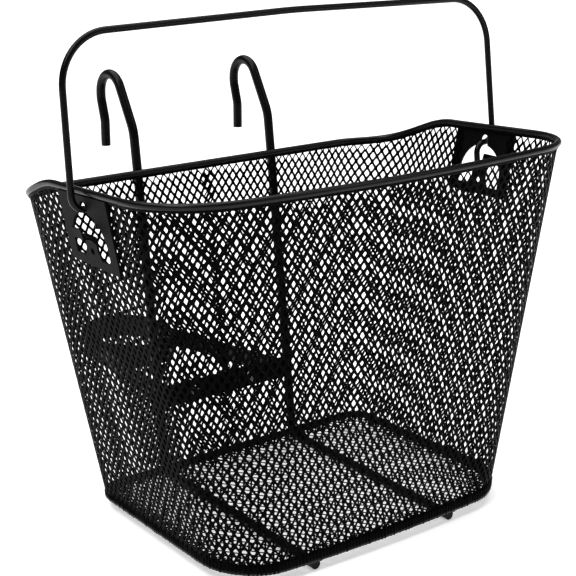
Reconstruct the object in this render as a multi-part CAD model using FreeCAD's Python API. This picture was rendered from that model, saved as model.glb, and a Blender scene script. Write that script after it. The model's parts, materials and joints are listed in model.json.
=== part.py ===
import FreeCAD, Part
import math
import os

V = FreeCAD.Vector

# ---------------------------------------------------------------------------
# Wire-mesh handlebar basket, millimetres.  +Z up, +Y towards the bicycle (the flat
# back with the hooks), -Y the bowed front.  Heights are above the surface that the
# two floor rods stand on.  Everything is modelled with y = 0 near the middle of the
# bin and moved along Y at the end, so that the origin is the centre of the footprint.
# ---------------------------------------------------------------------------

# wires
ROD_D = 7.0                  # the two hook rods
RIM_D = 4.6                  # top rim wire
HANDLE_D = 4.5               # swinging handle
FOOT_WIRE_D = 3.5            # wire round the floor
MESH_T = 1.6                 # wall and floor mesh, strand over strand

# bin, measured on the middle of the mesh
FLOOR_HALF_WIDTH = 124.0
FLOOR_BACK = 68.6
FLOOR_FRONT = -112.5
FLOOR_BACK_R = 18.0
FLOOR_FRONT_R = 43.0
FLOOR_FRONT_CORNER = -106.5  # where the side line and the front bow would meet
RIM_HALF_WIDTH = 174.0       # at the height of the front rim
RIM_BACK = 98.5
RIM_FRONT = -129.7
RIM_BACK_R = 49.0
RIM_FRONT_R = 57.0
RIM_FRONT_CORNER = -112.0
BACK_RIM_H = 225.0           # rim heights above the floor
SIDE_RIM_H = 247.4
FRONT_RIM_H = 256.0
RISE_START = 97.0            # the rim climbs between these two places in y
RISE_END = 18.0
FOLD_RIM = 9.0               # mesh folded back under the rim
FOLD_FLOOR = 12.5            # mesh folded in over the floor
FOLD_T = 1.3                 # extra thickness of a fold
LEAST_CORNER_R = 1.5         # least radius of the fold's back corners

# hook rods
HOOK_X = 60.4
HOOK_BEND_H = 254.6          # above the floor, where the stem turns back
HOOK_BEND_Y = 108.3
HOOK_COLUMN_Y = 153.5        # upper part of the hook's free end
HOOK_TIP_Y = 148.8           # lower part, set in towards the stem
HOOK_SET_HIGH_H = 272.0
HOOK_SET_LOW_H = 256.0
HOOK_TIP_H = 237.0
HOOK_ARCH_R = 15.0
HOOK_LEAN_DEG = 59.9
HOOK_BEND_R = 28.0
HOOK_SET_R = 14.0
ROD_FOOT_R = 8.0             # bend behind the floor wire
ROD_FRONT_Y = -109.0

# handle and its plates
PIVOT_Y = -17.0
PIVOT_H = 238.0
HANDLE_HALF_WIDTH = 180.5
HANDLE_TOP_HALF_WIDTH = 178.0
HANDLE_REACH = 107.0         # pivot to the middle of the grip bar
HANDLE_LEAN_DEG = 6.6        # leans back as stored
HANDLE_CORNER_R = 34.0
HANDLE_CROWN = 3.0
END_BEND_R = 8.6
END_HOOK_R = 8.0
END_HOOK_X = 163.5
END_HOOK_DROP = 13.5
PLATE_W = 60.0
PLATE_T = 1.5
PLATE_BOTTOM_H = 199.5
PLATE_CORNER_R = 3.0
ARCH_HALF_WIDTH = 21.0
ARCH_BASE_H = 205.5
ARCH_TOP_H = 236.0
KEYHOLE_R = 3.8              # lobe on top of the arch that the handle turns in
KEYHOLE_H = 239.6
TONGUE_W = 14.0
TONGUE_TOP_H = 221.0
TONGUE_FLARE = 3.0           # wider at its foot
LIP_OUT = 9.0                # the tongue's tip is bent outwards, then up
LIP_RISE = 6.0
LIP_ROOT = 5.0
LIP_SIDE = 1.0               # narrower than the tongue by this on each side
TONGUE_HOLE_D = 4.6
TONGUE_HOLE_H = 210.0
CUTOUT_HALF_WIDTH = 23.5     # mesh cut away behind the plate
CUTOUT_LOW_H = 203.0
CUTOUT_HIGH_H = 244.5

# stay behind the back wall
STAY_H = 51.0                # middle of the cross bar above the floor
BAR_HALF_LENGTH = 64.5
BAR_W = 16.0
BAR_T = 2.6
ARM_T = 2.6
ARM_W = 14.0
FOOT_INNER_X = 15.0
FOOT_OUTER_X = 57.0
BOLT_X = 26.0
BOLT_D = 5.0
BOLT_HEAD_R = 4.4
BOLT_HEAD_H = 3.4
NUT_FLATS = 8.0
NUT_H = 4.0
WASHER_R = 5.0
WASHER_T = 1.0
THREAD_OUT = 2.2
RING_H = 46.0                # middle of the ring above the floor
RING_CENTRE_Y = 229.0
RING_STRAIGHT = 20.0
RING_INNER_R = 31.0
RING_T = 2.6
RING_BAND = 19.0

rod_r = ROD_D / 2
rim_r = RIM_D / 2
foot_wire_r = FOOT_WIRE_D / 2
handle_r = HANDLE_D / 2
half_mesh = MESH_T / 2
SKIN = 0.1                   # air left between two touching pieces
floor_z = ROD_D + SKIN       # the floor mesh lies on the rods

side_slope = (RIM_HALF_WIDTH - FLOOR_HALF_WIDTH) / FRONT_RIM_H
back_slope = (RIM_BACK - FLOOR_BACK) / BACK_RIM_H
front_slope = (RIM_FRONT - FLOOR_FRONT) / FRONT_RIM_H


# --------------------------------------------------------------------- helpers

def grow(low, high, fraction):
    return low + (high - low) * fraction


def smooth(t):
    """Eases from 0 to 1."""
    t = min(max(t, 0.0), 1.0)
    return t * t * (3 - 2 * t)


def rim_height(y):
    """Height of the rim wire above the floor: level at the back, an S round the
    corners, then a slow climb to the front."""
    rise = smooth((RISE_START - y) / (RISE_START - RISE_END))
    climb = max(0.0, (RISE_END - y) / (RISE_END - RIM_FRONT))
    return grow(BACK_RIM_H, SIDE_RIM_H, rise) + (FRONT_RIM_H - SIDE_RIM_H) * climb


def bow_through(half_width, corner_y, front_y):
    """Radius of the shallow front arc."""
    sag = corner_y - front_y
    return (half_width ** 2 + sag ** 2) / (2 * sag)


def half_outline(height, offset=0.0):
    """The right half of the bin's outline at a height, as [start, end, centre]
    pieces from the middle of the back to the middle of the front; centre is None
    for a straight one.  offset grows the outline outwards."""
    share = height / SIDE_RIM_H
    x = FLOOR_HALF_WIDTH + side_slope * height + offset
    back = FLOOR_BACK + back_slope * height + offset
    front = FLOOR_FRONT + front_slope * height - offset
    corner = grow(FLOOR_FRONT_CORNER, RIM_FRONT_CORNER, share) - offset
    back_r = max(grow(FLOOR_BACK_R, RIM_BACK_R, share) + offset, LEAST_CORNER_R)
    front_r = grow(FLOOR_FRONT_R, RIM_FRONT_R, share) + offset
    bow_r = bow_through(x, corner, front)
    # the front corner arc touches the side line and the bow from inside
    arc_x = x - front_r
    bow_centre_y = front + bow_r
    arc_y = bow_centre_y - math.sqrt((bow_r - front_r) ** 2 - arc_x ** 2)
    away = V(arc_x, arc_y - bow_centre_y, 0)
    touch = V(0, bow_centre_y, 0) + away * (bow_r / away.Length)
    return [
        (V(0, back, 0), V(x - back_r, back, 0), None),
        (V(x - back_r, back, 0), V(x, back - back_r, 0), V(x - back_r, back - back_r, 0)),
        (V(x, back - back_r, 0), V(x, arc_y, 0), None),
        (V(x, arc_y, 0), touch, V(arc_x, arc_y, 0)),
        (touch, V(0, front, 0), V(0, bow_centre_y, 0)),
    ]


def piece_point(piece, fraction):
    start, end, centre = piece
    if centre is None:
        return start + (end - start) * fraction
    a = math.atan2(start.y - centre.y, start.x - centre.x)
    b = math.atan2(end.y - centre.y, end.x - centre.x)
    radius = (start - centre).Length
    angle = a + (b - a) * fraction
    return V(centre.x + radius * math.cos(angle), centre.y + radius * math.sin(angle), 0)


def mirrored(point):
    return V(-point.x, point.y, point.z)


def outline_wire(height, z, offset=0.0):
    """The closed outline at a height, drawn at level z."""
    half = half_outline(height, offset)
    lift = V(0, 0, z)
    left = [(mirrored(e), mirrored(s), c and mirrored(c)) for s, e, c in reversed(half)]
    edges = []
    for side, pieces in (("right", half), ("left", left)):
        for number, (start, end, centre) in enumerate(pieces):
            if centre is None:
                edges.append(Part.makeLine(start + lift, end + lift))
                continue
            if side == "right":
                middle = piece_point((start, end, centre), 0.5)
            else:
                middle = mirrored(piece_point(half[len(half) - 1 - number], 0.5))
            edges.append(Part.Arc(start + lift, middle + lift, end + lift).toShape())
    return Part.Wire(Part.__sortEdges__(edges))


def bin_solid(low, high, offset):
    """The tapering bin between two heights above the floor, filled in."""
    wires = [outline_wire(h, floor_z + h, offset) for h in (low, high)]
    return Part.makeLoft(wires, True, True)


def under_rim(drop):
    """Everything more than a drop below the rim wire's middle line."""
    steps = 40
    span = 30.0
    start = RIM_BACK + span
    end = RIM_FRONT - span
    nudge = 0.01
    points = []
    for i in range(steps + 1):
        y = grow(start, end, i / steps)
        slope = (rim_height(y + nudge) - rim_height(y - nudge)) / (2 * nudge)
        down = V(0, slope, -1).normalize() * drop
        points.append(V(0, y, floor_z + rim_height(y)) + down)
    curve = Part.BSplineCurve()
    curve.interpolate(points)
    low = -20.0
    edges = [curve.toShape(),
             Part.makeLine(points[-1], V(0, end, low)),
             Part.makeLine(V(0, end, low), V(0, start, low)),
             Part.makeLine(V(0, start, low), points[0])]
    half_span = RIM_HALF_WIDTH + span
    face = Part.Face(Part.Wire(edges))
    face.translate(V(-half_span, 0, 0))
    return face.extrude(V(2 * half_span, 0, 0))


def arc_from(start, heading, end):
    """The arc that leaves start along heading and ends at end."""
    chord = end - start
    along = chord * (1 / chord.Length)
    aside = heading - along * heading.dot(along)
    if aside.Length < 1e-6:
        return Part.makeLine(start, end)
    aside.normalize()
    turn = heading.getAngle(along)
    middle = (start + end) * 0.5 + aside * (chord.Length / 2 * math.tan(turn / 2))
    return Part.Arc(start, middle, end).toShape()


def smooth_path(points, headings):
    """Tangent arcs, two between each pair of points, closed into a loop."""
    edges = []
    for i, start in enumerate(points):
        end = points[(i + 1) % len(points)]
        h0 = headings[i]
        h1 = headings[(i + 1) % len(points)]
        gap = end - start
        both = h0 + h1
        a = 2 * (1 - h0.dot(h1))
        b = 2 * gap.dot(both)
        if abs(a) < 1e-9:
            reach = gap.dot(gap) / b
        else:
            reach = (-b + math.sqrt(b * b + 4 * a * gap.dot(gap))) / (2 * a)
        joint = (start + end) * 0.5 + (h0 - h1) * (reach / 2)
        edges.append(arc_from(start, h0, joint))
        back = arc_from(end, h1 * -1, joint)
        edges.append(back)
    return Part.Wire(Part.__sortEdges__(edges))


def bent_path(points, radii):
    """Straight runs through the points, each inner corner rounded to its radius."""
    edges = []
    here = points[0]
    for i in range(1, len(points) - 1):
        before = (points[i - 1] - points[i]).normalize()
        after = (points[i + 1] - points[i]).normalize()
        half = before.getAngle(after) / 2
        reach = radii[i - 1] / math.tan(half)
        first = points[i] + before * reach
        last = points[i] + after * reach
        inward = (before + after).normalize()
        middle = points[i] + inward * (radii[i - 1] / math.sin(half) - radii[i - 1])
        if (first - here).Length > 1e-6:
            edges.append(Part.makeLine(here, first))
        edges.append(Part.Arc(first, middle, last).toShape())
        here = last
    edges.append(Part.makeLine(here, points[-1]))
    return Part.Wire(edges)


def round_wire(path, radius):
    """A round bar along a path."""
    first = path.OrderedEdges[0]
    start = first.valueAt(first.FirstParameter)
    heading = first.tangentAt(first.FirstParameter)
    if first.Orientation == "Reversed":
        start = first.valueAt(first.LastParameter)
        heading = first.tangentAt(first.LastParameter) * -1
    ring = Part.Wire([Part.makeCircle(radius, start, heading)])
    return path.makePipeShell([ring], True, True)


def turned(shape, degrees, about=V(0, 0, 0), axis=V(1, 0, 0)):
    copy = shape.copy()
    copy.rotate(about, axis, degrees)
    return copy


def flipped(shape):
    return shape.mirror(V(0, 0, 0), V(1, 0, 0))


# ------------------------------------------------------------------ bin and rim

def rim_point(piece_number, fraction):
    """A point of the rim wire's middle line on the right half."""
    height = SIDE_RIM_H
    for _ in range(30):
        point = piece_point(half_outline(height)[piece_number], fraction)
        height = rim_height(point.y)
    return V(point.x, point.y, floor_z + height)


def closed_loop(point_at, stops):
    """Points and headings round the whole loop from points on the right half."""
    nudge = 1e-3
    right = []
    for piece_number, fraction in stops:
        low = point_at(piece_number, max(fraction - nudge, 0.0))
        high = point_at(piece_number, min(fraction + nudge, 1.0))
        right.append((point_at(piece_number, fraction), (high - low).normalize()))
    left = [(mirrored(p), V(h.x, -h.y, -h.z)) for p, h in reversed(right)]
    left = left[1:-1]
    loop = right + left
    return [p for p, _ in loop], [h for _, h in loop]


def rim_wire():
    stops = [(0, 0.0), (0, 0.98)]
    stops += [(1, f) for f in (0.2, 0.4, 0.6, 0.8, 0.98)]
    stops += [(2, f) for f in (0.2, 0.4, 0.7, 0.99)]
    stops += [(3, f) for f in (0.25, 0.5, 0.75, 0.99)]
    stops += [(4, 0.5), (4, 1.0)]
    return round_wire(smooth_path(*closed_loop(rim_point, stops)), rim_r)


def floor_wire():
    path = outline_wire(0.0, floor_z + foot_wire_r)
    return round_wire(path, foot_wire_r)


def wall_mesh():
    """One wrapped sheet: the wall, the edge folded back under the rim and the edge
    folded in over the floor, with the openings behind the two handle plates."""
    top = FRONT_RIM_H + 10
    foot = FOOT_WIRE_D + SKIN
    fold_top = foot + FOLD_T
    clear = top + 20
    wall = bin_solid(foot, top, half_mesh).common(under_rim(rim_r + SKIN))
    wall = wall.cut(bin_solid(fold_top, clear, -half_mesh - FOLD_T))
    wall = wall.cut(bin_solid(fold_top, clear, -half_mesh).common(under_rim(rim_r + FOLD_RIM)))
    hole = outline_wire(foot, floor_z, -half_mesh - FOLD_FLOOR)
    wall = wall.cut(Part.Face(hole).extrude(V(0, 0, fold_top + 1)))
    width = 2 * CUTOUT_HALF_WIDTH
    cutout = Part.makeBox(2 * RIM_HALF_WIDTH + 40, width, CUTOUT_HIGH_H - CUTOUT_LOW_H,
                          V(-RIM_HALF_WIDTH - 20, PIVOT_Y - CUTOUT_HALF_WIDTH,
                            floor_z + CUTOUT_LOW_H))
    return wall.cut(cutout)


def floor_mesh():
    edge = outline_wire(0.0, floor_z, -foot_wire_r - SKIN)
    return Part.Face(edge).extrude(V(0, 0, MESH_T))


# -------------------------------------------------------------------- hook rods

def rod_line(height):
    """Middle of the rod outside the back wall: its foot bend starts behind the floor
    wire and its top lies against the rim."""
    low = FLOOR_BACK + ROD_FOOT_R
    high = RIM_BACK + rim_r + rod_r + SKIN
    return grow(low, high, height / BACK_RIM_H)


def hook_rod(x):
    bottom = rod_r - floor_z
    slant = math.tan(math.radians(HOOK_LEAN_DEG))
    peak = HOOK_BEND_H + (HOOK_COLUMN_Y - HOOK_BEND_Y) * slant
    stops = [(ROD_FRONT_Y, bottom), (rod_line(bottom), bottom),
             (rod_line(BACK_RIM_H), BACK_RIM_H), (HOOK_BEND_Y, HOOK_BEND_H),
             (HOOK_COLUMN_Y, peak), (HOOK_COLUMN_Y, HOOK_SET_HIGH_H),
             (HOOK_TIP_Y, HOOK_SET_LOW_H), (HOOK_TIP_Y, HOOK_TIP_H)]
    points = [V(x, y, floor_z + h) for y, h in stops]
    radii = [ROD_FOOT_R, HOOK_BEND_R, HOOK_BEND_R, HOOK_ARCH_R, HOOK_SET_R, HOOK_SET_R]
    return round_wire(bent_path(points, radii), rod_r)


# ----------------------------------------------------------- handle and plates

pivot = V(0, PIVOT_Y, floor_z + PIVOT_H)


def handle():
    """Drawn upright above the pivot, then leant back."""
    end = V(END_HOOK_X, 0, -END_HOOK_DROP)
    corner = V(END_HOOK_X, 0, 0)
    leg = V(HANDLE_HALF_WIDTH, 0, 0)
    shoulder = V(HANDLE_TOP_HALF_WIDTH, 0, HANDLE_REACH)
    crown = V(0, 0, HANDLE_REACH + HANDLE_CROWN)
    right = [end, corner, leg, shoulder]
    points = right + [crown] + [mirrored(p) for p in reversed(right)]
    bends = [END_HOOK_R, END_BEND_R, HANDLE_CORNER_R]
    radii = bends + [6 * HANDLE_REACH] + bends[::-1]
    bar = round_wire(bent_path(points, radii), handle_r)
    bar.translate(pivot)
    return turned(bar, -HANDLE_LEAN_DEG, pivot)


def plate_outline(points, thickness):
    """A flat shape in the YZ plane, pushed out along X."""
    wire = Part.makePolygon(points + [points[0]])
    return Part.Face(wire).extrude(V(thickness, 0, 0))


def along_x(radius, y, height, deep):
    return Part.makeCylinder(radius, deep, V(-deep / 2, y, height), V(1, 0, 0))


def arch_window():
    """Horseshoe window: a round-topped opening with a lobe above it for the handle
    and a tongue left standing in it."""
    radius = ARCH_HALF_WIDTH
    spring = ARCH_TOP_H - radius
    deep = 6 * PLATE_T
    low = V(-deep / 2, -radius, ARCH_BASE_H)
    window = Part.makeBox(deep, 2 * radius, spring - ARCH_BASE_H, low)
    window = window.fuse(along_x(radius, 0, spring, deep))
    above = Part.makeBox(deep, 2 * radius, 2 * radius, low)
    window = window.common(above)
    lobe = along_x(KEYHOLE_R, 0, KEYHOLE_H, deep)
    neck = Part.makeBox(deep, 2 * KEYHOLE_R, KEYHOLE_H - spring,
                        V(-deep / 2, -KEYHOLE_R, spring))
    window = window.fuse([lobe, neck])
    half = TONGUE_W / 2
    foot = half + TONGUE_FLARE
    stem = plate_outline([V(0, -foot, ARCH_BASE_H), V(0, foot, ARCH_BASE_H),
                          V(0, half, ARCH_BASE_H + 2 * TONGUE_FLARE), V(0, half, TONGUE_TOP_H),
                          V(0, -half, TONGUE_TOP_H),
                          V(0, -half, ARCH_BASE_H + 2 * TONGUE_FLARE)], deep)
    stem.translate(V(-deep / 2, 0, 0))
    return window.cut(stem)


def tongue_lip():
    """The tongue's tip, bent outwards, with its edge turned up."""
    half = TONGUE_W / 2 - LIP_SIDE
    knee = LIP_OUT / 2
    root = TONGUE_TOP_H - LIP_ROOT
    top = TONGUE_TOP_H
    profile = [(0, root), (PLATE_T, root), (knee, top - PLATE_T), (LIP_OUT, top - PLATE_T / 2),
               (LIP_OUT + PLATE_T / 2, top + LIP_RISE), (LIP_OUT - PLATE_T / 2, top + LIP_RISE),
               (LIP_OUT - PLATE_T, top + PLATE_T / 2), (knee - PLATE_T / 2, top), (0, top - PLATE_T)]
    points = [V(x, -half, height) for x, height in profile]
    return Part.Face(Part.makePolygon(points + [points[0]])).extrude(V(0, 2 * half, 0))


def handle_plate():
    """The right plate.  Drawn flat against the plane x = 0 with heights above the
    floor, then leant, moved onto the outer face of the wall and trimmed under the rim."""
    half = PLATE_W / 2
    plate = plate_outline([V(0, -half, PLATE_BOTTOM_H), V(0, half, PLATE_BOTTOM_H),
                           V(0, half, FRONT_RIM_H), V(0, -half, FRONT_RIM_H)], PLATE_T)
    corners = [e for e in plate.Edges
               if abs(e.tangentAt(e.FirstParameter).x) > 0.99 and e.BoundBox.ZMax < FRONT_RIM_H - 1]
    plate = plate.makeFillet(PLATE_CORNER_R, corners)
    plate = plate.cut(arch_window())
    plate = plate.fuse(tongue_lip())
    plate = plate.cut(along_x(TONGUE_HOLE_D / 2, 0, TONGUE_HOLE_H, 4 * PLATE_T)).removeSplitter()
    # leant by a shear, so heights stay true heights
    shear = FreeCAD.Matrix()
    shear.A13 = side_slope
    plate = plate.transformGeometry(shear)
    out = FLOOR_HALF_WIDTH + (half_mesh + SKIN) * math.hypot(1.0, side_slope)
    plate.translate(V(out, PIVOT_Y, floor_z))
    return plate.common(under_rim(rim_r + SKIN))


# ------------------------------------------------------------------------- stay

stay_lean = math.degrees(math.atan((rod_line(BACK_RIM_H) - rod_line(0)) / BACK_RIM_H))
bar_face = V(0, rod_line(STAY_H) + rod_r / math.cos(math.radians(stay_lean)) + SKIN,
             floor_z + STAY_H)


def on_bar(shape):
    """From a frame whose XZ plane is the cross bar's front face to its place."""
    moved = turned(shape, -stay_lean)
    moved.translate(bar_face)
    return moved


def along_y(radius, length, x, y):
    return Part.makeCylinder(radius, length, V(x, y, 0), V(0, 1, 0))


def cross_bar():
    bar = Part.makeBox(2 * BAR_HALF_LENGTH, BAR_T, BAR_W, V(-BAR_HALF_LENGTH, 0, -BAR_W / 2))
    ends = [e for e in bar.Edges if abs(e.tangentAt(e.FirstParameter).y) > 0.99]
    bar = bar.makeFillet(BAR_W / 5, ends)
    for x in (-BOLT_X, BOLT_X):
        bar = bar.cut(along_y(BOLT_D / 2 + SKIN, BAR_T, x, 0))
    return on_bar(bar)


def ring_band():
    """Closed band with two round ends, standing on edge."""
    half = RING_STRAIGHT / 2

    def slab(radius):
        solid = Part.makeBox(2 * radius, RING_STRAIGHT, RING_BAND, V(-radius, -half, 0))
        for y in (-half, half):
            solid = solid.fuse(Part.makeCylinder(radius, RING_BAND, V(0, y, 0)))
        return solid

    band = slab(RING_INNER_R + RING_T).cut(slab(RING_INNER_R)).removeSplitter()
    band.translate(V(0, RING_CENTRE_Y, floor_z + RING_H - RING_BAND / 2))
    return band


def stay_arm():
    """The right arm: a flat foot bolted behind the cross bar, then a bar on edge
    that runs back to the side of the ring."""
    foot = Part.makeBox(FOOT_OUTER_X - FOOT_INNER_X, ARM_T, ARM_W,
                        V(FOOT_INNER_X, BAR_T, -ARM_W / 2))
    foot = foot.cut(along_y(BOLT_D / 2 + SKIN, 4 * ARM_T, BOLT_X, 0))
    foot = on_bar(foot)
    ring_x = RING_INNER_R + RING_T + SKIN
    lean_gap = ARM_W / 2 * math.tan(math.radians(stay_lean))
    start_y = bar_face.y + BAR_T + lean_gap + SKIN
    start = V(FOOT_OUTER_X - ARM_T, start_y, floor_z + STAY_H)
    end = V(ring_x, RING_CENTRE_Y - RING_STRAIGHT / 2, floor_z + RING_H)
    side = V(ARM_T, 0, 0)
    tail = V(0, RING_STRAIGHT, 0)
    corners = [start, end, end + tail, end + tail + side, end + side, start + side]
    flat = [V(p.x, p.y, 0) for p in corners]
    bar = Part.Face(Part.makePolygon(flat + [flat[0]])).extrude(V(0, 0, ARM_W))
    climb = FreeCAD.Matrix()
    climb.A32 = (end.z - start.z) / (end.y - start.y)
    bar = bar.transformGeometry(climb)
    bar.translate(V(0, 0, start.z - ARM_W / 2 - climb.A32 * start.y))
    return foot.fuse(bar).removeSplitter()


def bolt(x):
    """Domed head on the basket side, shank through the bar and the arm's foot."""
    length = BAR_T + ARM_T + WASHER_T + NUT_H + THREAD_OUT
    head = along_y(BOLT_HEAD_R, BOLT_HEAD_H, x, -BOLT_HEAD_H)
    rim = [e for e in head.Edges if e.BoundBox.YMax < -BOLT_HEAD_H + 0.01]
    head = head.makeFillet(BOLT_HEAD_H * 0.6, rim)
    return on_bar(head.fuse(along_y(BOLT_D / 2, length, x, 0)))


def washer(x):
    face = BAR_T + ARM_T
    ring = along_y(WASHER_R, WASHER_T, x, face)
    return on_bar(ring.cut(along_y(BOLT_D / 2 + SKIN, WASHER_T, x, face)))


def nut(x):
    face = BAR_T + ARM_T + WASHER_T
    corner_r = NUT_FLATS / 2 / math.cos(math.pi / 6)
    points = [V(x + corner_r * math.cos(a), face, corner_r * math.sin(a))
              for a in (math.pi / 3 * i for i in range(7))]
    solid = Part.Face(Part.makePolygon(points)).extrude(V(0, NUT_H, 0))
    return on_bar(solid.cut(along_y(BOLT_D / 2 + SKIN, NUT_H, x, face)))


# ------------------------------------------------------------------------ build

def both(maker, x):
    return Part.makeCompound([maker(-x), maker(x)])


parts = {
    "rim_wire": rim_wire(),
    "floor_wire": floor_wire(),
    "wall_mesh": wall_mesh(),
    "floor_mesh": floor_mesh(),
    "hook_rod_left": hook_rod(-HOOK_X),
    "hook_rod_right": hook_rod(HOOK_X),
    "handle": handle(),
    "handle_plate_right": handle_plate(),
    "handle_plate_left": flipped(handle_plate()),
    "stay_cross_bar": cross_bar(),
    "stay_ring": ring_band(),
    "stay_arm_right": stay_arm(),
    "stay_arm_left": flipped(stay_arm()),
    "stay_bolts": both(bolt, BOLT_X),
    "stay_washers": both(washer, BOLT_X),
    "stay_nuts": both(nut, BOLT_X),
}

lowest = min(shape.BoundBox.YMin for shape in parts.values())
highest = max(shape.BoundBox.YMax for shape in parts.values())
to_centre = V(0, -(lowest + highest) / 2, 0)

os.makedirs("parts", exist_ok=True)
for name, shape in parts.items():
    shape.translate(to_centre)
    shape.exportStep("parts/" + name + ".step")
    print(f"{name:20s} valid {shape.isValid()} solids {len(shape.Solids)} "
          f"volume {shape.Volume / 1000:.2f} cm3")
print("moved along y by", round(to_centre.y, 3))
print("pivot", pivot + to_centre)
print("ring rear centre", V(0, RING_CENTRE_Y + RING_STRAIGHT / 2, floor_z + RING_H) + to_centre)
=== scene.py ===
import json
import math

import bpy
import numpy as np
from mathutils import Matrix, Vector


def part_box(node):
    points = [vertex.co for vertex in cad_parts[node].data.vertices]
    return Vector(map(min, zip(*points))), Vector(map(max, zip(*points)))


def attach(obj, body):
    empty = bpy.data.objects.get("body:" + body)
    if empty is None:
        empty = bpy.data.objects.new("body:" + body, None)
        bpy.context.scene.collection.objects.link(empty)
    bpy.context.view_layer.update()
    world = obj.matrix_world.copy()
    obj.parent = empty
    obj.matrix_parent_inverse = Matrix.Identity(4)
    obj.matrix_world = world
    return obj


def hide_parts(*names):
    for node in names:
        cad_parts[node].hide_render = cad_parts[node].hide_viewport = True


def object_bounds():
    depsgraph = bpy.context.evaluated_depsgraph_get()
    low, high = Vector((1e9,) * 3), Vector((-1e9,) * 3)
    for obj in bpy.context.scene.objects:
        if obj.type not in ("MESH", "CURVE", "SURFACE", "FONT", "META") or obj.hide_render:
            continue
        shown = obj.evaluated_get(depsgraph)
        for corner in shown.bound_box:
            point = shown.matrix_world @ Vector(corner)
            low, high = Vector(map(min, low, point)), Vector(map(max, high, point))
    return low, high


# ---------------------------------------------------------------------------
# Looks of the wire-mesh handlebar basket.  Metres, in the row frame: +Z up, +Y to
# the bicycle, -Y the bowed front.  The rods, wires, plates, stay and fasteners are
# the frame's own meshes with a finish each; the two closed sheets that stand in for
# the mesh are replaced by real expanded-metal mesh, strand by strand.
# ---------------------------------------------------------------------------

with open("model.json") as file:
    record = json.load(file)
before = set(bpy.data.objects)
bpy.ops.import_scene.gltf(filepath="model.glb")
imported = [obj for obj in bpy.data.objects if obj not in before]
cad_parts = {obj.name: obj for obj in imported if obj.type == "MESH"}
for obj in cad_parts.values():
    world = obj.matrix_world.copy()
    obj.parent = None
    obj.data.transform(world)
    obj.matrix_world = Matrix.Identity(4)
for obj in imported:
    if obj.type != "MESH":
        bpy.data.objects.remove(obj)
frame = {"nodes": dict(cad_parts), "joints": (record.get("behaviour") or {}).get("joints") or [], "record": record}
cad_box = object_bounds()
node = frame["nodes"]
MM = 0.001

# bin, as in the frame
rim_lo, rim_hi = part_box("rim_wire")
foot_lo, foot_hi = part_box("floor_wire")
sheet_lo, sheet_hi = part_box("floor_mesh")
RIM_R = 2.3 * MM
FOOT_R = 1.75 * MM
SHEET_T = sheet_hi.z - sheet_lo.z
floor_z = foot_lo.z
floor_half = foot_hi.x - FOOT_R
floor_back = foot_hi.y - FOOT_R
floor_front = foot_lo.y + FOOT_R
front_rim_h = rim_hi.z - RIM_R - floor_z
back_rim_h = rim_lo.z + RIM_R - floor_z
rim_back = rim_hi.y - RIM_R
rim_front = rim_lo.y + RIM_R
SIDE_RIM_H = 247.4 * MM
RIM_HALF_AT_FRONT = 50.0 * MM        # wider than the floor by this at the front rim's height
FLOOR_BACK_R = 18.0 * MM
FLOOR_FRONT_R = 43.0 * MM
RIM_BACK_R = 49.0 * MM
RIM_FRONT_R = 57.0 * MM
FLOOR_SAG = 6.0 * MM                 # bow of the front, corner line to middle
RIM_SAG = 17.7 * MM
RISE_START = 1.5 * MM                # inwards of the rim's back: the rim starts to climb
RISE_LENGTH = 79.0 * MM

side_slope = RIM_HALF_AT_FRONT / front_rim_h
back_slope = (rim_back - floor_back) / back_rim_h
front_slope = (rim_front - floor_front) / front_rim_h

# mesh
CELL_W = 6.9 * MM                    # across a diamond,
CELL_W_AT = 210.0 * MM               # at this height
CELL_H = 9.3 * MM
HOLE = 0.585                         # hole tip as a share of the half cell
TIP = 0.09                           # half width of a hole's blunt tip, likewise
STRAND_T = 0.72 * MM
STRAND_EDGE = 0.7                    # share of the thickness left at a strand's edge
STRAND_TILT = 0.12 * MM              # one edge of a strand stands out, the other in
KNOT_JITTER = 0.018                  # spread of the knots' places, in half cells
ROW_CLIMB = 34.0 * MM                # rows climb from the front to the sheet's right end
ROW_TURN = 44.0 * MM                 # and turn up again towards its left end,
TURN_POWER = 4                       # ever more steeply
MEAN_LEAN = -1.0                     # degrees that the columns lean at the front
LEAN_CHANGE = 5.0                    # less at the sheet's right end, more at its left
FRONT_OPENING = 1.04                 # size of the holes at the front
OPENING_LOSS = 0.065                 # smaller by this at the back
SEAM_X = -4.0 * MM                   # the sheet's ends meet here on the back wall
LAP = 7.0 * MM                       # overlap of the two ends at the seam
LAP_LIFT = 0.75 * STRAND_T           # each end moves out or in by this to clear the other
LAP_START = 1.2                      # the lift starts this many laps before the seam
SPARE_COLUMNS = 14                   # beyond half way round, as the columns lean
SPARE_ROWS = 14
PLATE_CUT_HALF = 24.5 * MM           # mesh left out behind a handle plate
PLATE_CUT_LOW = 201.5 * MM
TOP_GAP = 4.0 * MM                   # from the rim's middle to the highest diamonds' middles
FOOT_GAP = 4.2 * MM
FOLD_ABOVE = 0.7 * MM                # the fold's middle above the floor sheet
FOLD_SWELL = 0.8                     # strand thickness, as a share of the wall's
FLOOR_SWELL = 0.7
FLOOR_OPENING = 1.1
FLOOR_MARGIN = 3.0 * MM              # from the floor's outline to the nearest diamonds
BAND_STATIONS = 900
HEEL_CELLS = 8                       # stations to a lump
LUMP_OUT = 0.9                       # millimetres, like the next two
LUMP_RISE = 2.2
HEEL_SHOULDER = 3.9                  # lumps rise only above this
HEEL_FRONT = 0.3                     # full height from the front's middle to here, s
HEEL_LOSS = 0.7                      # the heel is lower by this at the sides and back


# ---------------------------------------------------------------- wall surface

def lerp(low, high, t):
    return low + (high - low) * t


def smooth(t):
    t = np.clip(t, 0.0, 1.0)
    return t * t * (3 - 2 * t)


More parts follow.
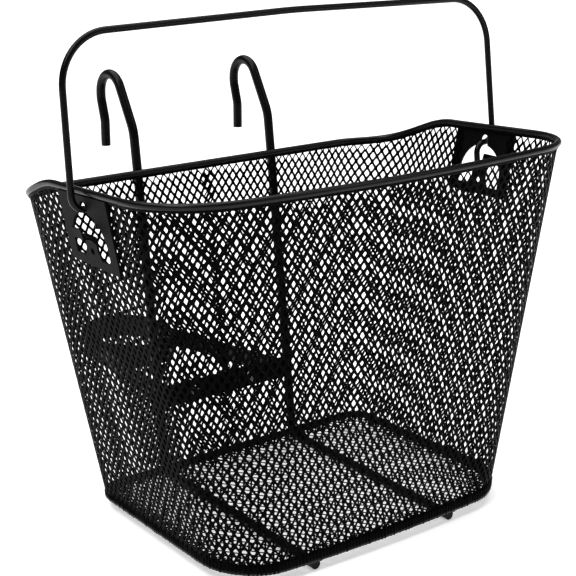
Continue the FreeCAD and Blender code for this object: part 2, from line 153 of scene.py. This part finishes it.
def rim_height(y):
    """Height of the rim wire above the floor."""
    start = rim_back - RISE_START
    end = start - RISE_LENGTH
    climb = np.clip((end - y) / (end - rim_front), 0.0, None)
    rise = lerp(back_rim_h, SIDE_RIM_H, smooth((start - y) / RISE_LENGTH))
    return rise + (front_rim_h - SIDE_RIM_H) * climb


def half_outline(height, count):
    """Right half of the bin's outline at a height, from the middle of the front to
    the middle of the back, in equal steps of length.  Returns points and length."""
    share = height / SIDE_RIM_H
    x = floor_half + side_slope * height
    back = floor_back + back_slope * height
    front = floor_front + front_slope * height
    sag = lerp(FLOOR_SAG, RIM_SAG, share)
    back_r = lerp(FLOOR_BACK_R, RIM_BACK_R, share)
    front_r = lerp(FLOOR_FRONT_R, RIM_FRONT_R, share)
    bow_r = (x * x + sag * sag) / (2 * sag)
    arc_x = x - front_r
    bow_y = front + bow_r
    arc_y = bow_y - math.sqrt((bow_r - front_r) ** 2 - arc_x ** 2)
    touch = math.atan2(arc_y - bow_y, arc_x)

    def arc(cx, cy, r, a, b):
        t = np.linspace(a, b, 60)
        return np.stack([cx + r * np.cos(t), cy + r * np.sin(t)], 1)

    line = np.concatenate([
        arc(0, bow_y, bow_r, -math.pi / 2, touch),
        arc(arc_x, arc_y, front_r, touch, 0.0),
        arc(x - back_r, back - back_r, back_r, 0.0, math.pi / 2),
        [[0.0, back]],
    ])
    step = np.hypot(*np.diff(line, axis=0).T)
    along = np.concatenate([[0.0], np.cumsum(step)])
    want = np.linspace(0, along[-1], count)
    points = np.stack([np.interp(want, along, line[:, i]) for i in (0, 1)], 1)
    return points, along[-1]


GRID_S = 500
GRID_LOW, GRID_HIGH, GRID_H = -4 * MM, 272 * MM, 70
grid_heights = np.linspace(GRID_LOW, GRID_HIGH, GRID_H)
outlines = [half_outline(h, GRID_S) for h in grid_heights]
grid = np.array([p for p, _ in outlines])
half_length = np.array([n for _, n in outlines])


def on_wall(s, height, out=0.0):
    """Points of the wall's middle surface, moved outwards.  s runs from -1 to 1 round
    the bin: 0 is the middle of the front, 1 and -1 the middle of the back, and it
    goes on past them."""
    s = (np.asarray(s, float) + 1) % 2 - 1
    side = np.where(s < 0, -1.0, 1.0)
    row = np.clip((height - GRID_LOW) / (GRID_HIGH - GRID_LOW) * (GRID_H - 1), 0, GRID_H - 1.001)
    col = np.clip(np.abs(s) * (GRID_S - 1), 0, GRID_S - 1.001)
    i, j = row.astype(int), col.astype(int)
    fi, fj = (row - i)[..., None], (col - j)[..., None]
    low = grid[i, j] * (1 - fj) + grid[i, j + 1] * fj
    high = grid[i + 1, j] * (1 - fj) + grid[i + 1, j + 1] * fj
    xy = low * (1 - fi) + high * fi
    j0, j1 = np.clip(j - 2, 0, None), np.clip(j + 3, None, GRID_S - 1)
    tangent = grid[i, j1] - grid[i, j0]
    upwards = (high - low) / (grid_heights[1] - grid_heights[0])
    flat = np.stack([tangent[..., 1], -tangent[..., 0]], -1)
    flat /= np.linalg.norm(flat, axis=-1, keepdims=True)
    slope = (upwards * flat).sum(-1)
    normal = np.stack([flat[..., 0], flat[..., 1], -slope], -1)
    normal /= np.linalg.norm(normal, axis=-1, keepdims=True)
    point = np.stack([xy[..., 0], xy[..., 1], floor_z + height], -1)
    point = point + normal * np.asarray(out)[..., None]
    point[..., 0] *= side
    return point


def rim_above(s):
    """Rim height where the wall at s meets it."""
    height = np.full(np.shape(s), SIDE_RIM_H)
    for _ in range(12):
        height = rim_height(on_wall(s, height)[..., 1])
    return height


# ------------------------------------------------------------ expanded metal

# the hole's eight corners in half cells, from the left of the top tip, clockwise
HOLE_RING = np.array([(-TIP, HOLE), (TIP, HOLE), (HOLE, TIP), (HOLE, -TIP),
                      (TIP, -HOLE), (-TIP, -HOLE), (-HOLE, -TIP), (-HOLE, TIP)])
# its four neighbours' meeting points: top, right, bottom, left
KNOTS = np.array([(0, 1), (1, 0), (0, -1), (-1, 0)])


def mesh_sheet(name, cells, place, swell=1.0, open_up=1.0):
    """Expanded metal.  cells is a list of diamonds' middles on the lattice, where
    a + b is even; place turns lattice places and a thickness into points.  open_up is
    the holes' size, a number or a function of a."""
    cells = np.array(sorted(cells))
    count = len(cells)
    knots = (cells[:, None, :] + KNOTS).reshape(-1, 2)
    unique, knot_of = np.unique(knots, axis=0, return_inverse=True)
    knot_of = knot_of.reshape(count, 4)
    rng = np.random.default_rng(7)
    shift = rng.normal(0, KNOT_JITTER, unique.shape)
    knot_at = unique + shift
    own = shift[knot_of].mean(1)
    size = open_up(cells[:, 0]) if callable(open_up) else open_up
    opened = np.broadcast_to(size, count)
    ring = cells[:, None, :] + own[:, None, :] + HOLE_RING * opened[:, None, None]
    half = STRAND_T / 2 * swell
    tilt = STRAND_TILT * HOLE_RING[:, 0] / HOLE
    layers = []
    for face in (1, -1):
        layers.append(place(knot_at[:, 0], knot_at[:, 1], np.full(len(unique), face * half)))
        thick = face * half * STRAND_EDGE + np.broadcast_to(tilt, (count, 8))
        layers.append(place(ring[..., 0], ring[..., 1], thick).reshape(-1, 3))
    verts = np.concatenate(layers)
    n_knots, n_ring = len(unique), count * 8
    knot_top, ring_top = 0, n_knots
    knot_low, ring_low = n_knots + n_ring, 2 * n_knots + n_ring
    ring_index = np.arange(n_ring).reshape(count, 8)
    quads, tris = [], []
    for corner in range(4):
        after = (corner + 1) % 4
        r0, r1, r2 = 2 * corner, 2 * corner + 1, (2 * corner + 2) % 8
        for kt, rt, flip in ((knot_top, ring_top, False), (knot_low, ring_low, True)):
            strand = np.stack([kt + knot_of[:, corner], kt + knot_of[:, after],
                               rt + ring_index[:, r2], rt + ring_index[:, r1]], 1)
            tip = np.stack([kt + knot_of[:, corner], rt + ring_index[:, r1],
                            rt + ring_index[:, r0]], 1)
            quads.append(strand[:, ::-1] if not flip else strand)
            tris.append(tip[:, ::-1] if not flip else tip)
    for corner in range(8):
        after = (corner + 1) % 8
        quads.append(np.stack([ring_top + ring_index[:, corner], ring_top + ring_index[:, after],
                               ring_low + ring_index[:, after], ring_low + ring_index[:, corner]],
                              1)[:, ::-1])
    # the sheet's cut edges
    edges = np.concatenate([np.stack([knot_of[:, c], knot_of[:, (c + 1) % 4]], 1)
                            for c in range(4)])
    key = np.sort(edges, 1)
    _, first, times = np.unique(key, axis=0, return_index=True, return_counts=True)
    rim = edges[first[times == 1]]
    quads.append(np.stack([knot_top + rim[:, 0], knot_low + rim[:, 0],
                           knot_low + rim[:, 1], knot_top + rim[:, 1]], 1)[:, ::-1])
    return make_mesh(name, verts, np.concatenate(quads), np.concatenate(tris), 62)


def make_mesh(name, verts, quads=(), tris=(), sharp=40):
    """A mesh object from arrays, smooth but for edges over an angle in degrees."""
    faces = [f.tolist() for f in quads] + [f.tolist() for f in tris]
    mesh = bpy.data.meshes.new(name)
    mesh.from_pydata(np.asarray(verts).tolist(), [], faces)
    mesh.polygons.foreach_set("use_smooth", [True] * len(mesh.polygons))
    mesh.set_sharp_from_angle(angle=math.radians(sharp))
    mesh.update()
    made = bpy.data.objects.new(name, mesh)
    bpy.context.scene.collection.objects.link(made)
    return made


def belong(piece, slot, material, *stands_for, body="basket"):
    piece.data.materials.clear()
    piece.data.materials.append(material)
    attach(piece, body)
    if stands_for:
        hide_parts(*stands_for)
    return piece


columns = 2 * round(2 * np.interp(CELL_W_AT, grid_heights, half_length) / CELL_W)
row_count = int(SIDE_RIM_H / (CELL_H / 2)) + 6
FIRST_ROW = 6 * MM


def lean_at(s0):
    """Degrees that a column leans; s0 is -1 and 1 at the wrapped sheet's two ends."""
    return MEAN_LEAN - LEAN_CHANGE * s0


def lattice_to_wall(a, b):
    """Wall places and heights of lattice places."""
    s0 = a / (columns / 2)
    climb = ROW_CLIMB * s0 + ROW_TURN * ((1 - s0) / 2) ** TURN_POWER
    height = FIRST_ROW + b * CELL_H / 2 + climb
    length = np.interp(height, grid_heights, half_length)
    s = s0 + np.tan(np.radians(lean_at(s0))) * height / length
    return s, height


def wall_opening(a):
    """The diamonds are drawn out a little wider over the bowed front."""
    return FRONT_OPENING - OPENING_LOSS * np.abs(a / (columns / 2))


def past_seam(s, height):
    """How far beyond the seam line, as a length, each way: below nought is inside."""
    length = np.interp(height, grid_heights, half_length)
    start = -1 - SEAM_X / length
    return (start - s) * length, (s - start - 2) * length


def place_on_wall(a, b, thick):
    s, height = lattice_to_wall(a, b)
    before, after = past_seam(s, height)
    under = smooth(before / LAP + LAP_START) * LAP_LIFT
    over = smooth(after / LAP + LAP_START) * LAP_LIFT
    return on_wall(s, height, thick + over - under)


def wall_cells(side):
    """The bare wall's diamonds on one side; the middle column goes with the right."""
    reach = columns // 2 + SPARE_COLUMNS
    a = np.arange(-reach, reach + 1)
    b = np.arange(-SPARE_ROWS, row_count + SPARE_ROWS)
    aa, bb = [m.ravel() for m in np.meshgrid(a, b)]
    even = (aa + bb) % 2 == 0
    aa, bb = aa[even], bb[even]
    s, height = lattice_to_wall(aa.astype(float), bb.astype(float))
    before, after = past_seam(s, height)
    own_side = aa >= 0 if side > 0 else aa < 0
    chosen = bare_wall(height, on_wall(s, height)) & own_side
    chosen &= (before < LAP / 2) & (after < LAP / 2)
    return [(int(p), int(q)) for p, q in zip(aa[chosen], bb[chosen])]


pivot = Vector(frame["joints"][0]["pos_m"])


def behind_plate(height, point):
    near = np.abs(point[:, 1] - pivot.y) < PLATE_CUT_HALF
    return near & (height > PLATE_CUT_LOW) & (np.abs(point[:, 0]) > floor_half)


def bare_wall(height, point):
    inside = (height > FOOT_GAP) & (height < rim_height(point[:, 1]) - TOP_GAP)
    return inside & ~behind_plate(height, point)


# --------------------------------------------------------------------- finishes

def coat(name, dark, light, rough, peel, specular=0.5, metallic=0.0, grain=900.0):
    """Sprayed and baked coat: slow change of tone and gloss, orange peel, fine grit."""
    material = bpy.data.materials.new(name)
    material.use_nodes = True
    nodes, links = material.node_tree.nodes, material.node_tree.links
    nodes.clear()
    output = nodes.new("ShaderNodeOutputMaterial")
    shader = nodes.new("ShaderNodeBsdfPrincipled")
    links.new(shader.outputs["BSDF"], output.inputs["Surface"])
    place = nodes.new("ShaderNodeTexCoord")

    def noise(scale, detail, roughness=0.5):
        n = nodes.new("ShaderNodeTexNoise")
        n.inputs["Scale"].default_value = scale
        n.inputs["Detail"].default_value = detail
        n.inputs["Roughness"].default_value = roughness
        links.new(place.outputs["Object"], n.inputs["Vector"])
        return n.outputs["Fac"]

    def spread(source, low, high, lowest, highest):
        n = nodes.new("ShaderNodeMapRange")
        for key, value in zip(("From Min", "From Max", "To Min", "To Max"),
                              (low, high, lowest, highest)):
            n.inputs[key].default_value = value
        links.new(source, n.inputs["Value"])
        return n.outputs["Result"]

    cloud = noise(28.0, 5.0)
    grit = noise(grain, 3.0, 0.6)
    tone = nodes.new("ShaderNodeMix")
    tone.data_type = "RGBA"
    tone.inputs["A"].default_value = (*dark, 1)
    tone.inputs["B"].default_value = (*light, 1)
    share = nodes.new("ShaderNodeMath")
    share.operation = "MULTIPLY"
    links.new(spread(cloud, 0.3, 0.7, 0.25, 1.0), share.inputs[0])
    links.new(spread(grit, 0.35, 0.7, 0.3, 1.0), share.inputs[1])
    links.new(share.outputs[0], tone.inputs["Factor"])
    links.new(tone.outputs["Result"], shader.inputs["Base Color"])
    gloss = nodes.new("ShaderNodeMath")
    gloss.operation = "ADD"
    links.new(spread(cloud, 0.3, 0.7, rough - 0.05, rough + 0.05), gloss.inputs[0])
    links.new(spread(grit, 0.3, 0.7, -0.04, 0.05), gloss.inputs[1])
    links.new(gloss.outputs[0], shader.inputs["Roughness"])
    skin = nodes.new("ShaderNodeBump")
    skin.inputs["Strength"].default_value = peel
    skin.inputs["Distance"].default_value = 0.12 * MM
    links.new(noise(420.0, 2.0), skin.inputs["Height"])
    grains = nodes.new("ShaderNodeBump")
    grains.inputs["Strength"].default_value = peel * 0.5
    grains.inputs["Distance"].default_value = 0.05 * MM
    links.new(grit, grains.inputs["Height"])
    links.new(skin.outputs["Normal"], grains.inputs["Normal"])
    links.new(grains.outputs["Normal"], shader.inputs["Normal"])
    shader.inputs["Metallic"].default_value = metallic
    shader.inputs["Specular IOR Level"].default_value = specular
    return material


finish = {
    "rim_coat": coat("rim_coat", (0.0015, 0.0015, 0.0016), (0.004, 0.004, 0.004), 0.24, 0.22, 0.16),
    "mesh_coat": coat("mesh_coat", (0.0008, 0.0008, 0.0008), (0.002, 0.002, 0.002), 0.42, 0.25,
                      0.015),
    "rod_coat": coat("rod_coat", (0.0015, 0.0015, 0.0016), (0.004, 0.004, 0.004), 0.28, 0.25, 0.10),
    "handle_coat": coat("handle_coat", (0.0015, 0.0015, 0.0016), (0.004, 0.004, 0.004), 0.26, 0.22,
                        0.12),
    "plate_coat": coat("plate_coat", (0.0016, 0.0016, 0.0016), (0.006, 0.006, 0.0058), 0.50, 0.35,
                       0.03),
    "stay_coat": coat("stay_coat", (0.0015, 0.0015, 0.0016), (0.004, 0.004, 0.004), 0.34, 0.25,
                      0.08),
    "fastener": coat("fastener", (0.42, 0.42, 0.41), (0.68, 0.68, 0.67), 0.30, 0.12,
                     metallic=1.0, grain=2400.0),
}

# ------------------------------------------------------------------ mesh pieces

for side, name in ((1, "wall_mesh_right"), (-1, "wall_mesh_left")):
    belong(mesh_sheet(name, wall_cells(side), place_on_wall, open_up=wall_opening), "mesh_coat",
           finish["mesh_coat"], "wall_mesh")


def ribbon(name, stations, section, at):
    """A closed band: section is a list of (out, drop); at gives points for a station
    array and a section corner."""
    rings = np.stack([at(stations, out, drop) for out, drop in section], 1)
    n, m = rings.shape[:2]
    index = np.arange(n * m).reshape(n, m)
    nxt = np.roll(index, -1, axis=0)
    quads = [np.stack([index[:, k], nxt[:, k], nxt[:, (k + 1) % m], index[:, (k + 1) % m]], 1)
             for k in range(m)]
    return make_mesh(name, rings.reshape(-1, 3), np.concatenate(quads), sharp=70)


# (out, drop below the rim's middle), millimetres; the mesh's folded edge
RIM_BAND = [(-1.0, 0.8), (1.0, 0.8), (1.3, 1.8), (1.1, 3.2), (0.5, 3.9), (-0.5, 3.9),
            (-1.1, 3.2), (-1.3, 1.8)]
WAVES = (9, 23, 41, 67, 111, 147)    # waves round the bin
LOOSE_FROM, LOOSE_OVER = 3.0, 2.0    # the edge wavers only below this
LOOSE = 0.5
around = np.linspace(-1, 1, BAND_STATIONS, endpoint=False)
rng = np.random.default_rng(3)
wave = sum(rng.uniform(0.1, 0.3) * np.sin(math.pi * k * around + rng.uniform(0, 6.28))
           for k in WAVES)
rim_at = rim_above(around)


def under_rim(s, out, drop):
    loose = smooth((drop - LOOSE_FROM) / LOOSE_OVER) * wave * LOOSE
    return on_wall(s, rim_at - (drop + loose) * MM, np.full(s.shape, out * MM))


belong(ribbon("rim_band", around, RIM_BAND[::-1], under_rim), "mesh_coat", finish["mesh_coat"],
       "wall_mesh")

# the wall's foot turns in over the floor
fold_z = SHEET_T + FOLD_ABOVE


def outline_at(s):
    """The floor outline and its inward direction."""
    on_line = on_wall(s, np.zeros(np.shape(s)))
    outer = on_wall(s, np.zeros(np.shape(s)), np.full(np.shape(s), 1.0 * MM))
    inward = on_line - outer
    inward[..., 2] = 0
    inward /= np.linalg.norm(inward, axis=-1, keepdims=True)
    return on_line, inward


def place_on_foot(a, b, thick):
    line, inward = outline_at(a / (columns / 2))
    point = line + inward * (b[..., None] * CELL_H / 2)
    point[..., 2] = floor_z + fold_z + thick
    return point


foot_cells = [(a, b) for a in range(-columns // 2, columns // 2) for b in (1, 2)
              if (a + b) % 2 == 0]
belong(mesh_sheet("floor_fold", foot_cells, place_on_foot, FOLD_SWELL), "mesh_coat",
       finish["mesh_coat"], "wall_mesh")


lump_size = np.repeat(rng.uniform(0.25, 1.0, columns), HEEL_CELLS)
lump_rise = np.repeat(rng.uniform(0.2, 1.0, columns), HEEL_CELLS)


def round_foot(s, out, rise):
    """The wall's strands squeezed round the floor wire, in lumps of uneven size."""
    line, inward = outline_at(s)
    swell = np.abs(np.sin(math.pi * s * columns / 2))
    front = 1 - HEEL_LOSS * smooth((np.abs(s) - HEEL_FRONT) / HEEL_FRONT)
    lump = LUMP_OUT * swell * lump_size * (out > 0)
    climb = np.maximum(rise - HEEL_SHOULDER, 0) * (front - 1)
    climb = climb + LUMP_RISE * swell * lump_rise * front * (rise > HEEL_SHOULDER)
    point = line - inward * ((out + lump) * MM)[..., None]
    point[..., 2] = floor_z + (rise + climb) * MM
    return point


close_around = np.linspace(-1, 1, HEEL_CELLS * columns, endpoint=False)
# (out, rise above the floor), millimetres
HEEL = [(0.9, 0.4), (1.2, 3.0), (1.4, 6.2), (0.7, 7.8), (-0.8, 7.0), (-1.6, 3.8), (-4.5, 3.1),
        (-4.5, 1.8), (-2.0, 1.7), (-0.6, 0.5)]
belong(ribbon("floor_heel", close_around, HEEL, round_foot), "mesh_coat", finish["mesh_coat"],
       "wall_mesh")

# floor sheet
middle_y = (floor_back + floor_front) / 2
outline, _ = half_outline(0.0, 400)


def place_on_floor(a, b, thick):
    return np.stack([a * CELL_W / 2, middle_y + b * CELL_H / 2,
                     floor_z + SHEET_T / 2 + thick], -1)


def inside_floor(x, y, margin):
    """True where a place is inside the floor outline by a margin."""
    x = abs(x)
    gap = np.hypot(outline[:, 0] - x, outline[:, 1] - y)
    k = int(gap.argmin())
    a, b = outline[max(k - 1, 0)], outline[min(k + 1, len(outline) - 1)]
    cross = (b[0] - a[0]) * (y - a[1]) - (b[1] - a[1]) * (x - a[0])
    return cross > 0 and gap[k] > margin


reach_a = int(2 * floor_half / CELL_W) + 2
reach_b = int((floor_back - floor_front) / CELL_H) + 2
floor_cells = [(a, b) for a in range(-reach_a, reach_a + 1) for b in range(-reach_b, reach_b + 1)
               if (a + b) % 2 == 0
               and inside_floor(a * CELL_W / 2, middle_y + b * CELL_H / 2, FLOOR_MARGIN)]
belong(mesh_sheet("floor_sheet", floor_cells, place_on_floor, FLOOR_SWELL, FLOOR_OPENING),
       "mesh_coat", finish["mesh_coat"], "floor_mesh")

# ------------------------------------------------------------------- weld beads

WELD_RINGS, WELD_SIDES = 9, 12


def bead(centre, along, across, size, seed):
    """A lumpy weld bead: half lengths along, across and through."""
    along, across = Vector(along).normalized(), Vector(across)
    across = (across - along * across.dot(along)).normalized()
    through = along.cross(across)
    lumps = np.random.default_rng(seed)
    phase = lumps.uniform(0, 2 * math.pi, 3)
    polar = np.linspace(0.0, math.pi, WELD_RINGS)[1:-1]
    turn = np.linspace(0, 2 * math.pi, WELD_SIDES, endpoint=False)
    p, t = np.meshgrid(polar, turn, indexing="ij")
    ripple = 1 + 0.07 * np.sin(9 * p + phase[0]) + 0.05 * np.sin(3 * t + phase[1])
    flat = np.stack([np.cos(p), np.sin(p) * np.cos(t), np.sin(p) * np.sin(t)], -1)
    body = (flat * ripple[..., None]).reshape(-1, 3)
    local = np.concatenate([body, [(1, 0, 0), (-1, 0, 0)]]) * np.array(size)
    axes = np.array([along, across, through])
    verts = np.array(centre) + local @ axes
    rings, sides = p.shape
    index = np.arange(rings * sides).reshape(rings, sides)
    after = np.roll(index, -1, axis=1)
    quads = np.stack([index[:-1], index[1:], after[1:], after[:-1]], -1).reshape(-1, 4)
    top = np.full(sides, rings * sides)
    tris = np.concatenate([np.stack([top, index[0], after[0]], 1),
                           np.stack([top + 1, after[-1], index[-1]], 1)])
    return verts, quads, tris


def weld_run(name, beads):
    """One object from several beads."""
    verts, quads, tris, start = [], [], [], 0
    for seed, spec in enumerate(beads):
        v, q, t = bead(*spec, seed)
        verts.append(v)
        quads.append(q + start)
        tris.append(t + start)
        start += len(v)
    run = make_mesh(name, np.concatenate(verts), np.concatenate(quads), np.concatenate(tris), 80)
    return belong(run, "rod_coat", finish["rod_coat"])


rod_lo, rod_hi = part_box("hook_rod_right")
bar_lo, bar_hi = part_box("stay_cross_bar")
ring_lo, ring_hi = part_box("stay_ring")
_, arm_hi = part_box("stay_arm_right")
rod_x = (rod_lo.x + rod_hi.x) / 2
ROD_R = (rod_hi.x - rod_lo.x) / 2
BEAD_SUNK = 0.4 * MM                 # beads' middles inside the rod's side
RIM_BEAD_OUT = 0.6 * MM
BAR_BEAD_IN = 0.2 * MM
FRONT_BEAD_IN = 3.5 * MM
FLOOR_BEAD_DROP = 0.5 * MM
RING_BEAD_EDGE = 2.2 * MM            # from the band's edges
RING_BEAD_BACK = 10.0 * MM           # from the arms' ends
RING_BEAD_OUT = 0.8 * MM
SMALL_BEAD = (3.2 * MM, 1.7 * MM, 1.6 * MM)
BAR_BEAD = (5.5 * MM, 1.5 * MM, 1.4 * MM)
RING_BEAD = (8.0 * MM, 1.5 * MM, 1.3 * MM)
UP, ALONG_X, ALONG_Y = (0, 0, 1), (1, 0, 0), (0, 1, 0)

rod_beads, ring_beads = [], []
for mirror in (-1, 1):
    for aside in (-1, 1):
        x = mirror * rod_x + aside * (ROD_R - BEAD_SUNK)
        rod_beads.append(((x, rim_hi.y + RIM_BEAD_OUT, floor_z + back_rim_h), ALONG_X, UP,
                          SMALL_BEAD))
        rod_beads.append(((x, bar_lo.y + BAR_BEAD_IN, (bar_lo.z + bar_hi.z) / 2), UP, ALONG_X,
                          BAR_BEAD))
        for y in (floor_back, floor_front + FRONT_BEAD_IN):
            rod_beads.append(((x, y, floor_z - FLOOR_BEAD_DROP), ALONG_X, ALONG_Y, SMALL_BEAD))
    x = mirror * (ring_hi.x + RING_BEAD_OUT)
    for z in (ring_lo.z + RING_BEAD_EDGE, ring_hi.z - RING_BEAD_EDGE):
        ring_beads.append(((x, arm_hi.y - RING_BEAD_BACK, z), ALONG_Y, UP, RING_BEAD))
weld_run("rod_welds", rod_beads)
weld_run("ring_welds", ring_beads)

# -------------------------------------------------------------- frame's own nodes

slot_of = {part["node"]: part["material_slot"] for part in frame["record"]["subparts"]}
for name, slot in slot_of.items():
    if name in ("wall_mesh", "floor_mesh"):
        continue
    mesh = node[name].data
    mesh.materials.clear()
    mesh.materials.append(finish[slot])

# ------------------------------------------------------------------------ stage

FLOOR_R = 30.0
FLOOR_TONE, FLOOR_GLOW = 0.86, 0.45
ROOM_LIGHT = 0.12                    # even light from all round
floor = bpy.data.objects.new("studio_floor", bpy.data.meshes.new("studio_floor"))
floor.data.from_pydata([(-FLOOR_R, -FLOOR_R, 0), (FLOOR_R, -FLOOR_R, 0), (FLOOR_R, FLOOR_R, 0),
                        (-FLOOR_R, FLOOR_R, 0)], [], [(0, 1, 2, 3)])
bpy.context.scene.collection.objects.link(floor)
floor.location.z = cad_box[0].z
pale = bpy.data.materials.new("studio_floor")
pale.use_nodes = True
pale_shader = pale.node_tree.nodes["Principled BSDF"]
pale_shader.inputs["Base Color"].default_value = (FLOOR_TONE,) * 3 + (1,)
pale_shader.inputs["Roughness"].default_value = 0.9
pale_shader.inputs["Specular IOR Level"].default_value = 0.1
pale_shader.inputs["Emission Color"].default_value = (1, 1, 1, 1)
pale_shader.inputs["Emission Strength"].default_value = FLOOR_GLOW
floor.data.materials.append(pale)

world = bpy.data.worlds.new("studio")
bpy.context.scene.world = world
world.use_nodes = True
w_nodes, w_links = world.node_tree.nodes, world.node_tree.links
w_nodes.clear()
w_out = w_nodes.new("ShaderNodeOutputWorld")
w_mix = w_nodes.new("ShaderNodeMixShader")
w_path = w_nodes.new("ShaderNodeLightPath")
w_light = w_nodes.new("ShaderNodeBackground")
w_light.inputs["Color"].default_value = (1, 1, 1, 1)
w_light.inputs["Strength"].default_value = ROOM_LIGHT
w_back = w_nodes.new("ShaderNodeBackground")
w_back.inputs["Color"].default_value = (1, 1, 1, 1)
w_back.inputs["Strength"].default_value = 1.0
w_links.new(w_path.outputs["Is Camera Ray"], w_mix.inputs["Fac"])
w_links.new(w_light.outputs[0], w_mix.inputs[1])
w_links.new(w_back.outputs[0], w_mix.inputs[2])
w_links.new(w_mix.outputs[0], w_out.inputs["Surface"])

middle = (cad_box[0] + cad_box[1]) / 2


def lamp(name, azimuth, elevation, distance, size, power):
    """Square soft light aimed at the middle of the object."""
    light = bpy.data.lights.new(name, "AREA")
    light.shape = "SQUARE"
    light.size = size
    light.energy = power
    holder = bpy.data.objects.new(name, light)
    bpy.context.scene.collection.objects.link(holder)
    a, e = math.radians(azimuth), math.radians(elevation)
    away = Vector((math.sin(a) * math.cos(e), -math.cos(a) * math.cos(e), math.sin(e)))
    holder.location = middle + away * distance
    holder.rotation_mode = "QUATERNION"
    holder.rotation_quaternion = (-away).to_track_quat("-Z", "Y")


lamp("key", -75, 52, 2.4, 0.9, 22)
lamp("fill", 40, 40, 2.6, 1.2, 8)

overhead = bpy.data.lights.new("overhead", "SUN")
overhead.energy = 3.4
overhead.angle = math.radians(70)
sun = bpy.data.objects.new("overhead", overhead)
sun.rotation_euler = (math.radians(-12), 0, 0)
bpy.context.scene.collection.objects.link(sun)

CAMERA_AT = Vector((-0.5894, -0.8490, 0.4633))
CAMERA_AZIMUTH = -37.05
CAMERA_ELEVATION = 17.39
camera = bpy.data.objects.new("camera", bpy.data.cameras.new("camera"))
bpy.context.scene.collection.objects.link(camera)
camera.data.sensor_width = 36.0
camera.data.lens = 89.5
camera.data.clip_start = 0.05
camera.data.clip_end = 100.0
a, e = math.radians(CAMERA_AZIMUTH), math.radians(CAMERA_ELEVATION)
look = -Vector((math.sin(a) * math.cos(e), -math.cos(a) * math.cos(e), math.sin(e)))
camera.location = CAMERA_AT
camera.rotation_mode = "QUATERNION"
camera.rotation_quaternion = look.to_track_quat("-Z", "Y")
bpy.context.scene.camera = camera
bpy.context.scene.view_settings.view_transform = "Standard"
